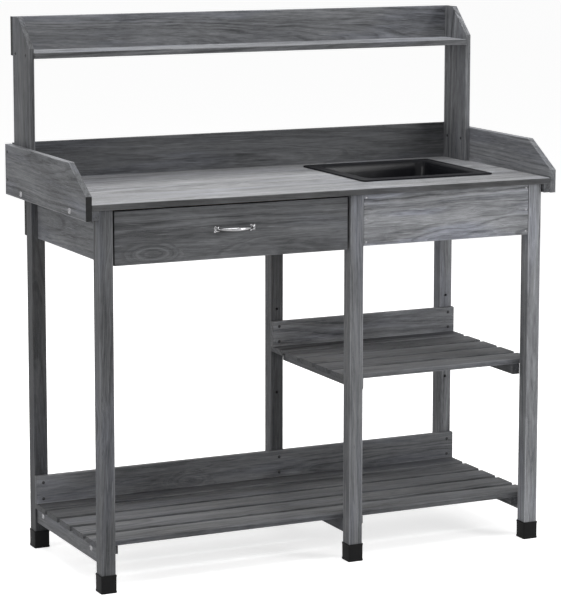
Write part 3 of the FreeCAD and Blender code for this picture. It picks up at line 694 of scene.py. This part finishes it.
def grow_slats(prefix, tone_and_light, seed):
    """The slats of one shelf: eased boards in a row, each with its own grain."""
    nodes = ["%s_slat_%d" % (prefix, i + 1) for i in range(SLAT_COUNT)]
    low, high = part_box(nodes[0])
    next_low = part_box(nodes[1])[0]
    size = high - low
    tree = Growth(prefix + "_slats")
    length = tree.ask("Length", "NodeSocketFloat", size.x)
    width = tree.ask("Width", "NodeSocketFloat", size.y)
    thick = tree.ask("Thickness", "NodeSocketFloat", size.z)
    ease = tree.ask("Eased edge", "NodeSocketFloat", SLAT_EASE)
    count = tree.ask("Count", "NodeSocketInt", SLAT_COUNT)
    pitch = tree.ask("Pitch", "NodeSocketFloat", next_low.y - low.y)
    start = tree.ask("First centre", "NodeSocketVector", tuple((low + high) / 2))
    bright = tree.ask("Tone", "NodeSocketFloat", tone_and_light)
    ends_and_edge_light = tree.ask("Ends and edges", "NodeSocketVector", (*PLAIN_ENDS_AND_EDGE_LIGHT, 0.0))
    chance = tree.ask("Seed", "NodeSocketInt", seed)
    material = tree.ask("Material", "NodeSocketMaterial", finish("stained_softwood"))

    half = tree.add("ShaderNodeVectorMath", operation="SCALE")
    sizes = tree.add("ShaderNodeCombineXYZ", {"X": length, "Y": width, "Z": thick})
    tree.put(half.inputs["Vector"], sizes.outputs["Vector"])
    tree.put(half.inputs["Scale"], 0.5)
    reach = tree.add("ShaderNodeSeparateXYZ", {"Vector": half.outputs["Vector"]})
    back = tree.add("ShaderNodeMath", {0: reach.outputs["X"], 1: -1.0}, operation="MULTIPLY")
    first = tree.add("ShaderNodeCombineXYZ", {"X": back.outputs[0]})
    last = tree.add("ShaderNodeCombineXYZ", {"X": reach.outputs["X"]})
    line = tree.add("GeometryNodeCurvePrimitiveLine", {"Start": first.outputs["Vector"],
                                                       "End": last.outputs["Vector"]})
    section = tree.add("GeometryNodeCurvePrimitiveQuadrilateral",
                       {"Width": width, "Height": thick})
    eased = tree.add("GeometryNodeFilletCurve", {"Curve": section.outputs["Curve"],
                                                 "Radius": ease}, mode="POLY")
    tree.put(eased.inputs["Count"], 3)
    board = tree.add("GeometryNodeCurveToMesh", {"Curve": line.outputs["Curve"],
                                                 "Profile Curve": eased.outputs["Curve"],
                                                 "Fill Caps": True})
    spot = tree.add("GeometryNodeInputPosition")
    board = tree.store(board.outputs["Mesh"], "grain", spot.outputs["Position"],
                       "FLOAT_VECTOR")
    board = tree.store(board, "half", half.outputs["Vector"], "FLOAT_VECTOR")
    board = tree.store(board, "ends_and_edge_light", ends_and_edge_light, "FLOAT_VECTOR")
    step = tree.add("ShaderNodeCombineXYZ", {"Y": pitch})
    row = tree.add("GeometryNodeMeshLine", {"Count": count, "Start Location": start,
                                            "Offset": step.outputs["Vector"]})
    laid = tree.add("GeometryNodeInstanceOnPoints", {"Points": row.outputs["Mesh"],
                                                     "Instance": board})
    number = tree.draw(0.0, 50.0, chance)
    second_seed = tree.add("ShaderNodeMath", {0: chance, 1: 7.0}, operation="ADD")
    shade = tree.draw(0.86, 1.16, second_seed.outputs[0])
    own = tree.add("ShaderNodeMath", {0: bright, 1: shade}, operation="MULTIPLY")
    slats = tree.store(laid.outputs["Instances"], "piece", number, "FLOAT", "INSTANCE")
    slats = tree.store(slats, "tone_and_light", own.outputs[0], "FLOAT", "INSTANCE")
    tree.close(slats, material)
    obj = tree.grow(new_object(prefix + "_slats", bpy.data.meshes.new(prefix + "_seed")))
    place(obj, "bench", "frame_wood", *nodes)


def grow_copies(name, pattern, points, aims, material):
    """Copies of a small mesh at points, each with its Z along its aim."""
    mesh = bpy.data.meshes.new(name + "_points")
    mesh.from_pydata([tuple(p) for p in points], [], [])
    aim = mesh.attributes.new("aim", "FLOAT_VECTOR", "POINT")
    aim.data.foreach_set("vector", [c for a in aims for c in a])
    shape = new_object(name + "_pattern", pattern)
    tree = Growth(name)
    copied = tree.ask("Pattern", "NodeSocketObject", shape)
    scale = tree.ask("Scale", "NodeSocketFloat", 1.0)
    paint = tree.ask("Material", "NodeSocketMaterial", material)
    source = tree.add("GeometryNodeObjectInfo", {"Object": copied})
    facing = tree.add("GeometryNodeInputNamedAttribute", data_type="FLOAT_VECTOR")
    tree.put(facing.inputs["Name"], "aim")
    turn = tree.add("FunctionNodeAlignRotationToVector", axis="Z")
    tree.put(turn.inputs["Vector"], facing.outputs["Attribute"])
    spread = tree.add("GeometryNodeInstanceOnPoints",
                      {"Points": tree.inside.outputs["Geometry"],
                       "Instance": source.outputs["Geometry"],
                       "Rotation": turn.outputs["Rotation"], "Scale": scale})
    tree.close(spread.outputs["Instances"], paint)
    obj = tree.grow(new_object(name, mesh))
    bpy.data.objects.remove(shape)
    smooth(obj)
    return obj


def turned(name, profile, sides=28):
    """A small turned shape about Z from (radius, height) points, closed at the axis."""
    bm = bmesh.new()
    rows = []
    for radius, height in profile:
        if radius == 0:
            rows.append([bm.verts.new((0, 0, height))])
            continue
        rows.append([bm.verts.new((radius * math.cos(2 * math.pi * i / sides),
                                   radius * math.sin(2 * math.pi * i / sides), height))
                     for i in range(sides)])
    skin(bm, rows)
    return closed_mesh(bm, name)


def fixings(node):
    """Where each fastener of a node sits: the seat of its head, its outward aim and sizes."""
    bm = merged_copy(node)
    seats = []
    for island in islands(bm):
        low, high = extent(island)
        size = high - low
        axis = max(range(3), key=lambda i: size[i])
        across = (axis + 1) % 3
        radius = size[across] / 2
        centre = (low + high) / 2
        wide = [v.co[axis] for v in island if abs(v.co[across] - centre[across]) > radius * 0.98]
        seat = sum(wide) / len(wide)
        outward = 1.0 if seat > centre[axis] else -1.0
        point = centre.copy()
        point[axis] = seat
        aim = Vector((0, 0, 0))
        aim[axis] = outward
        tip = high[axis] if outward > 0 else low[axis]
        seats.append((point, aim, radius, abs(tip - seat)))
    bm.free()
    return seats


def socket_head(name, radius, height, socket):
    """A domed head with a round-cornered recess in its crown."""
    dome = [(radius * math.cos(a), height * math.sin(a))
            for a in [math.pi / 2 * k / 7 for k in range(7)]
            if radius * math.cos(a) > socket]
    floor = height * 0.42
    profile = [(0, -HEAD_SEAT), (radius * 0.96, -HEAD_SEAT)] + dome
    rim_height = height * math.sqrt(max(0.0, 1 - (socket / radius) ** 2))
    profile += [(socket, rim_height), (socket * 0.94, rim_height - 0.1 * MM),
                (socket * 0.9, floor), (0, floor)]
    return turned(name, profile)


def add_fixings(name, node, body, socket_share, metal):
    """Heads of one metal on all the fasteners of a node."""
    seats = fixings(node)
    radius, height = seats[0][2], seats[0][3]
    head = socket_head(name + "_head", radius, height, radius * socket_share)
    obj = grow_copies(name, head, [s[0] for s in seats], [s[1] for s in seats],
                      finish(metal))
    place(obj, body, "fixing_steel", node)


# ---------------------------------------------------------------- operators

class POTTING_OT_boards(bpy.types.Operator):
    """Stain every board of the bench, with grain along its length"""
    bl_idname = "potting_bench.boards"
    bl_label = "Boards"

    def execute(self, context):
        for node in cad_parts:
            if node not in TONES_AND_LIGHT or node == "drawer_front":
                continue
            kind = {"worktop": "worktop_softwood", "front_apron": "figured_softwood"}
            board = grained_board(node, finish(kind.get(node, "stained_softwood")))
            place(board, "bench", "worktop_wood" if node == "worktop" else "frame_wood", node)
        for node in INNER_BOARDS:
            place(grained_board(node, finish("bare_softwood")), "bench", "inner_wood", node)
        return {"FINISHED"}


class POTTING_OT_drawer(bpy.types.Operator):
    """Make the drawer's front and box"""
    bl_idname = "potting_bench.drawer"
    bl_label = "Drawer"

    def execute(self, context):
        front = grained_board("drawer_front", finish("stained_softwood"))
        place(front, "drawer", "frame_wood", "drawer_front")
        for node in DRAWER_BOARDS:
            place(grained_board(node, finish("bare_softwood")), "drawer", "inner_wood", node)
        return {"FINISHED"}


class POTTING_OT_slats(bpy.types.Operator):
    """Lay the slats of the two shelves"""
    bl_idname = "potting_bench.slats"
    bl_label = "Shelf slats"

    def execute(self, context):
        # Slat tones, with painted light and shade as in the boards' tones: the bottom shelf's are
        # darker
        grow_slats("bottom_shelf", 0.78, 3)
        grow_slats("middle_shelf", 1.0, 11)
        return {"FINISHED"}


class POTTING_OT_caps(bpy.types.Operator):
    """Push the moulded caps on the feet"""
    bl_idname = "potting_bench.caps"
    bl_label = "Foot caps"

    def execute(self, context):
        low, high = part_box(CAP_NODES[0])
        outer = (high - low) / 2
        wall = 2.2 * MM
        middle = Vector((0, 0, 0))
        height = high.z - low.z
        base = 2.0 * MM

        def ring(inset, z, radius):
            return rounded_loop(outer.x - inset, outer.y - inset, radius, z, middle, 4)

        # From under the foot, up the outside between its two thick bands, and down inside
        loops = [
            ring(1.6 * MM, 0, 2.0 * MM), ring(0.4 * MM, 0.5 * MM, 2.4 * MM),
            ring(0, base, 2.6 * MM), ring(0, base + 2.5 * MM, 2.6 * MM),
            ring(0.7 * MM, base + 3.2 * MM, 2.4 * MM),
            ring(0.55 * MM, height - 4.5 * MM, 2.4 * MM),
            ring(0, height - 3.8 * MM, 2.6 * MM), ring(0, height - 0.7 * MM, 2.6 * MM),
            ring(0.5 * MM, height, 2.4 * MM), ring(wall - 0.3 * MM, height, 1.2 * MM),
            ring(wall, height - 0.5 * MM, 0.9 * MM), ring(wall, 3.0 * MM, 0.9 * MM),
        ]
        pattern = lofted("cap_pattern", loops)
        spots = []
        for node in CAP_NODES:
            low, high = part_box(node)
            spots.append(((low.x + high.x) / 2, (low.y + high.y) / 2, low.z))
        caps = grow_copies("foot_caps", pattern, spots, [(0, 0, 1)] * len(spots),
                           finish("cap_moulding"))
        place(caps, "bench", "cap_plastic", *CAP_NODES)
        return {"FINISHED"}


class POTTING_OT_sink(bpy.types.Operator):
    """Mould the lift-out sink tray"""
    bl_idname = "potting_bench.sink"
    bl_label = "Sink tray"

    def execute(self, context):
        low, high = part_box("sink_tray")
        centre = (low + high) / 2
        half = (high - low) / 2
        top_low, top_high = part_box("worktop")
        table, rim = top_high.z, high.z
        flange, wall, taper = 28 * MM, 2.5 * MM, 12 * MM
        rim_corner, basin_corner = 9 * MM, 22 * MM
        lip = rim - table
        floor = low.z + wall

        def ring(inset, z, radius):
            return rounded_loop(half.x - inset, half.y - inset, radius, z, centre)

        def wall_ring(z, extra=0.0):
            """The basin's inner wall at a height, grown by extra."""
            lean = taper * (rim - z) / (rim - floor)
            return ring(flange + lean - extra, z, basin_corner + extra)

        # Up the outside, round the rim's edge, over its top, and down the inside to the floor
        loops = [
            ring(flange + taper + 30 * MM, low.z, basin_corner - 6 * MM),
            ring(flange + taper + 7 * MM, low.z, basin_corner),
            ring(flange + taper + 1 * MM, low.z + 2.2 * MM, basin_corner + 1 * MM),
            wall_ring(low.z + 9 * MM, wall), wall_ring(table - 1.0 * MM, wall),
            ring(flange - wall - 2 * MM, table, basin_corner + wall + 1 * MM),
            ring(0.8 * MM, table, rim_corner), ring(0, table + 0.6 * MM, rim_corner),
            ring(0, table + lip * 0.62, rim_corner),
            ring(0.5 * MM, table + lip * 0.9, rim_corner), ring(1.6 * MM, rim, rim_corner),
            ring(6.5 * MM, rim, rim_corner + 1 * MM),
            ring(7.6 * MM, rim - 1.1 * MM, rim_corner + 1.5 * MM),
            ring(flange - 8 * MM, rim - 1.2 * MM, basin_corner - 2 * MM),
            ring(flange - 6.4 * MM, rim - 0.2 * MM, basin_corner - 1 * MM),
            ring(flange - 3.2 * MM, rim, basin_corner),
            ring(flange - 1.0 * MM, rim - 0.7 * MM, basin_corner),
            wall_ring(rim - 2.6 * MM), wall_ring(rim - 20 * MM), wall_ring(rim - 60 * MM),
            wall_ring(floor + 16 * MM), wall_ring(floor + 9 * MM, -1.2 * MM),
            wall_ring(floor + 3.8 * MM, -4.4 * MM), wall_ring(floor + 1 * MM, -9 * MM),
            ring(flange + taper + 15 * MM, floor, basin_corner),
            ring(flange + taper + 60 * MM, floor, basin_corner - 8 * MM),
        ]
        tray = new_object("sink_tray_moulding", lofted("sink_tray_moulding", loops),
                          finish("tray_moulding"))
        smooth(tray, 40)
        place(tray, "sink", "sink_plastic", "sink_tray")
        return {"FINISHED"}


class POTTING_OT_handle(bpy.types.Operator):
    """Cast the drawer's bow handle with its two rosettes"""
    bl_idname = "potting_bench.handle"
    bl_label = "Drawer handle"

    def execute(self, context):
        low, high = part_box("drawer_handle")
        face = high.y
        middle = Vector(((low.x + high.x) / 2, face, (low.z + high.z) / 2))
        foot = (high.z - low.z) / 2
        span = (high.x - low.x) / 2 - foot * 1.1
        reach = high.y - low.y
        bm = bmesh.new()
        # A vertex attribute that paints shade and dark reflection into the handle's colour
        painted_shade = bm.verts.layers.float.new("painted_shade")
        self.bow(bm, painted_shade, middle, span, reach)
        for side in (-1, 1):
            self.rosette(bm, painted_shade, middle + Vector((side * span, 0, 0)), foot)
        handle = new_object("bow_handle", closed_mesh(bm, "bow_handle"),
                            finish("cast_nickel"))
        smooth(handle, 50)
        place(handle, "drawer", "handle_metal", "drawer_handle")
        return {"FINISHED"}

    def bow(self, bm, painted_shade, middle, span, reach, steps=40, sides=16):
        """The grip: an oval bar that thickens to its middle and curls in at its feet."""
        rows = []
        for step in range(steps + 1):
            part = step / steps * 2 - 1
            angle = part * math.pi / 2
            swell = max(0.0, math.cos(angle))
            thick = 1.8 * MM + 0.9 * MM * swell ** 2
            tall = 2.9 * MM + 1.5 * MM * swell ** 2
            out = (reach - 3.5 * MM) * swell ** 0.62
            centre = middle + Vector((part * span, -out - 0.6 * MM, 0))
            tangent = Vector((1, (reach / span) * math.sin(angle) * 1.1, 0)).normalized()
            outward = Vector((tangent.y, -tangent.x, 0))
            ring = []
            for k in range(sides):
                turn = 2 * math.pi * k / sides
                vert = bm.verts.new(centre + outward * thick * math.cos(turn)
                                    + Vector((0, 0, tall * math.sin(turn))))
                # Painted shade and dark reflection: darker on the bar's underside and towards its
                # feet
                vert[painted_shade] = max(0.0, -math.sin(turn)) ** 0.7 + 0.9 * abs(part) ** 4
                ring.append(vert)
            rows.append(ring)
        skin(bm, rows)
        bm.faces.new(rows[0])
        bm.faces.new(list(reversed(rows[-1])))

    def rosette(self, bm, painted_shade, centre, foot, sides=32):
        """A foot: a square plate with a stepped rim round a small boss."""
        profile = [(1.0, 0.0), (1.0, 0.9), (0.9, 1.5), (0.78, 1.2), (0.7, 1.2), (0.62, 2.0),
                   (0.45, 2.5), (0.36, 2.1), (0.28, 2.1), (0.18, 3.0), (0.0, 3.2)]
        rows = []
        for share, out in profile:
            row = []
            for k in range(sides if share else 1):
                turn = 2 * math.pi * k / sides
                across, up = math.cos(turn), math.sin(turn)
                power = 5 if share > 0.65 else 2
                squared = share / (abs(across) ** power + abs(up) ** power) ** (1 / power)
                vert = bm.verts.new(centre + Vector((foot * squared * across, -out * MM,
                                                     foot * squared * up)))
                # Painted shade in the rosette's recessed rings
                vert[painted_shade] = 0.9 if share in (0.78, 0.7, 0.36, 0.28) else 0.15
                row.append(vert)
            rows.append(row)
        skin(bm, rows)
        bm.faces.new(list(reversed(rows[0])))


class POTTING_OT_fixings(bpy.types.Operator):
    """Set the bolts, screws and nails"""
    bl_idname = "potting_bench.fixings"
    bl_label = "Bolts, screws and nails"

    def execute(self, context):
        add_fixings("side_bolts", "side_board_bolts", "bench", 0.36, "zinc_plate")
        add_fixings("rail_bolt_heads", "rail_bolts", "bench", 0.36, "zinc_plate")
        add_fixings("screw_heads", "board_screws", "bench", 0.42, "blackened_steel")
        add_fixings("nail_heads", "apron_nails", "bench", 0.3, "zinc_plate")
        add_fixings("handle_screw_heads", "handle_screws", "drawer", 0.42, "dull_steel")
        return {"FINISHED"}


class POTTING_OT_stage(bpy.types.Operator):
    """Set up the floor, the studio light and the camera"""
    bl_idname = "potting_bench.stage"
    bl_label = "Stage"

    def execute(self, context):
        scene = bpy.context.scene
        scene.view_settings.view_transform = "Standard"
        self.floor()
        self.surround()
        self.lamps()
        self.camera()
        return {"FINISHED"}

    def floor(self):
        """A pale floor that keeps the bench's shadow."""
        far = FLOOR_HALF
        mesh = bpy.data.meshes.new("floor")
        corners = [(-far, -far, 0), (far, -far, 0), (far, far, 0), (-far, far, 0)]
        mesh.from_pydata(corners, [], [(0, 1, 2, 3)])
        s = Shader("floor_paint")
        out = s.tree.nodes["Material Output"]
        s.tree.nodes.remove(s.bsdf)
        path = s.add("ShaderNodeLightPath")
        matt = s.add("ShaderNodeBsdfDiffuse", {"Color": FLOOR_GREY})
        glow = s.add("ShaderNodeEmission", {"Color": WHITE})
        seen = s.math("MAXIMUM", path.outputs["Is Camera Ray"],
                      s.math("MAXIMUM", path.outputs["Is Glossy Ray"],
                             path.outputs["Is Transmission Ray"]))
        s.put(glow.inputs["Strength"], s.math("MULTIPLY", seen, FLOOR_GLOW))
        both = s.add("ShaderNodeAddShader", {0: matt.outputs[0], 1: glow.outputs[0]})
        s.put(out.inputs["Surface"], both.outputs[0])
        new_object("floor", mesh, s.material)

    def surround(self):
        """White to the camera and in reflections, and soft grey light to everything else."""
        world = bpy.data.worlds.new("studio")
        bpy.context.scene.world = world
        world.use_nodes = True
        n = Nodes(world.node_tree)
        lit = world.node_tree.nodes["Background"]
        n.put(lit.inputs["Color"], WHITE)
        n.put(lit.inputs["Strength"], settings().stage.ambient)
        white = n.add("ShaderNodeBackground", {"Color": WHITE, "Strength": 1.0})
        path = n.add("ShaderNodeLightPath")
        either = n.add("ShaderNodeMath", {0: path.outputs["Is Camera Ray"],
                                          1: path.outputs["Is Glossy Ray"]},
                       operation="MAXIMUM")
        seen = n.add("ShaderNodeMath", {0: either.outputs[0],
                                        1: path.outputs["Is Transmission Ray"]},
                     operation="MAXIMUM")
        mixed = n.add("ShaderNodeMixShader", {0: seen.outputs[0], 1: lit.outputs[0],
                                              2: white.outputs[0]})
        n.put(world.node_tree.nodes["World Output"].inputs["Surface"], mixed.outputs[0])

    def lamps(self):
        """Large soft lamps that look at the middle of the bench."""
        target = Vector(LAMP_TARGET)
        for name, spot, size, power in LAMPS:
            lamp = bpy.data.lights.new(name, "AREA")
            lamp.size = size
            lamp.energy = power
            obj = bpy.data.objects.new(name, lamp)
            obj.location = spot
            obj.rotation_euler = (target - Vector(spot)).to_track_quat("-Z", "Y").to_euler()
            bpy.context.scene.collection.objects.link(obj)

    def camera(self):
        """A long lens, a little above the worktop."""
        stage = settings().stage
        az, el, roll = stage.camera_azimuth, stage.camera_elevation, stage.camera_roll
        forward = Vector((-math.sin(az) * math.cos(el), math.cos(az) * math.cos(el),
                          -math.sin(el)))
        right = Vector((math.cos(az), math.sin(az), 0))
        up = right.cross(forward)
        across = right * math.cos(roll) + up * math.sin(roll)
        upward = up * math.cos(roll) - right * math.sin(roll)
        turn = Matrix((across, upward, -forward)).transposed().to_4x4()
        data = bpy.data.cameras.new("camera")
        data.lens = stage.lens
        data.sensor_width = SENSOR_WIDTH
        data.shift_x, data.shift_y = stage.shift
        obj = bpy.data.objects.new("camera", data)
        obj.matrix_world = Matrix.Translation(stage.camera_place) @ turn
        bpy.context.scene.collection.objects.link(obj)
        bpy.context.scene.camera = obj


OPERATORS = (POTTING_OT_boards, POTTING_OT_drawer, POTTING_OT_slats, POTTING_OT_caps,
             POTTING_OT_sink, POTTING_OT_handle, POTTING_OT_fixings, POTTING_OT_stage)


class POTTING_PT_panel(bpy.types.Panel):
    """The bench's operators and settings, in the sidebar"""
    bl_idname = "POTTING_PT_panel"
    bl_label = "Potting Bench"
    bl_space_type = "VIEW_3D"
    bl_region_type = "UI"
    bl_category = "Potting Bench"

    def draw(self, context):
        for operator in OPERATORS:
            self.layout.operator(operator.bl_idname)
        for group in (settings().wood, settings().hardware, settings().stage):
            box = self.layout.box()
            for name in group.bl_rna.properties.keys():
                if name not in ("rna_type", "name"):
                    box.prop(group, name)


CLASSES = (WoodSettings, HardwareSettings, StageSettings, BenchSettings,
           *OPERATORS, POTTING_PT_panel)


def register():
    for cls in CLASSES:
        bpy.utils.register_class(cls)
    bpy.types.Scene.potting_bench = bpy.props.PointerProperty(type=BenchSettings)


def unregister():
    del bpy.types.Scene.potting_bench
    for cls in reversed(CLASSES):
        bpy.utils.unregister_class(cls)


def main():
    register()
    bpy.ops.potting_bench.boards()
    bpy.ops.potting_bench.drawer()
    bpy.ops.potting_bench.slats()
    bpy.ops.potting_bench.caps()
    bpy.ops.potting_bench.sink()
    bpy.ops.potting_bench.handle()
    bpy.ops.potting_bench.fixings()
    bpy.ops.potting_bench.stage()


if __name__ == "__main__":
    main()
